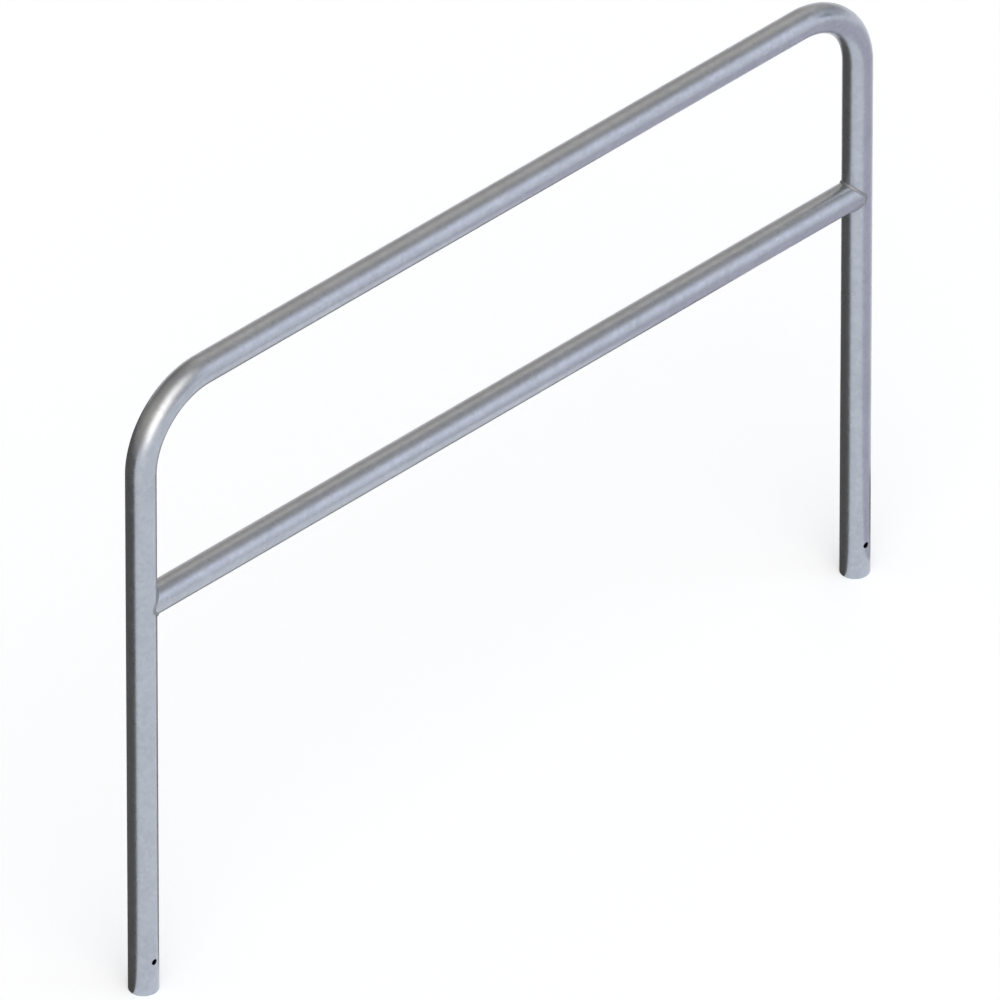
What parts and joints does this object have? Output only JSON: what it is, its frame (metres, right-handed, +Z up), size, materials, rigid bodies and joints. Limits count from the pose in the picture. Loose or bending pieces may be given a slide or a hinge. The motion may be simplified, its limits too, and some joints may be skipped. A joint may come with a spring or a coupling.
{
  "type": "steel hoop barrier",
  "caption": "Bent steel tube hoop with a welded mid rail, its legs set in concrete, that keeps vehicles and people off a footway or bay.",
  "frame": {"origin": "centre of the left leg's foot, at the bottom of its end face, 400 mm below the ground line", "axes": "+X along the barrier from the left leg to the right leg, +Y away from the side that the picture shows, +Z up"},
  "size_m": [2, 0.0636, 1.4],
  "materials": {
    "galvanised_tube": "hot-dip galvanised, smooth satin",
    "galvanised_weld": "weld bead, galvanised with the tube"
  },
  "bodies": {
    "root": {"hoop_tube": "galvanised_tube", "mid_rail": "galvanised_tube", "left_rail_weld": "galvanised_weld", "right_rail_weld": "galvanised_weld"}
  },
  "joints": []
}
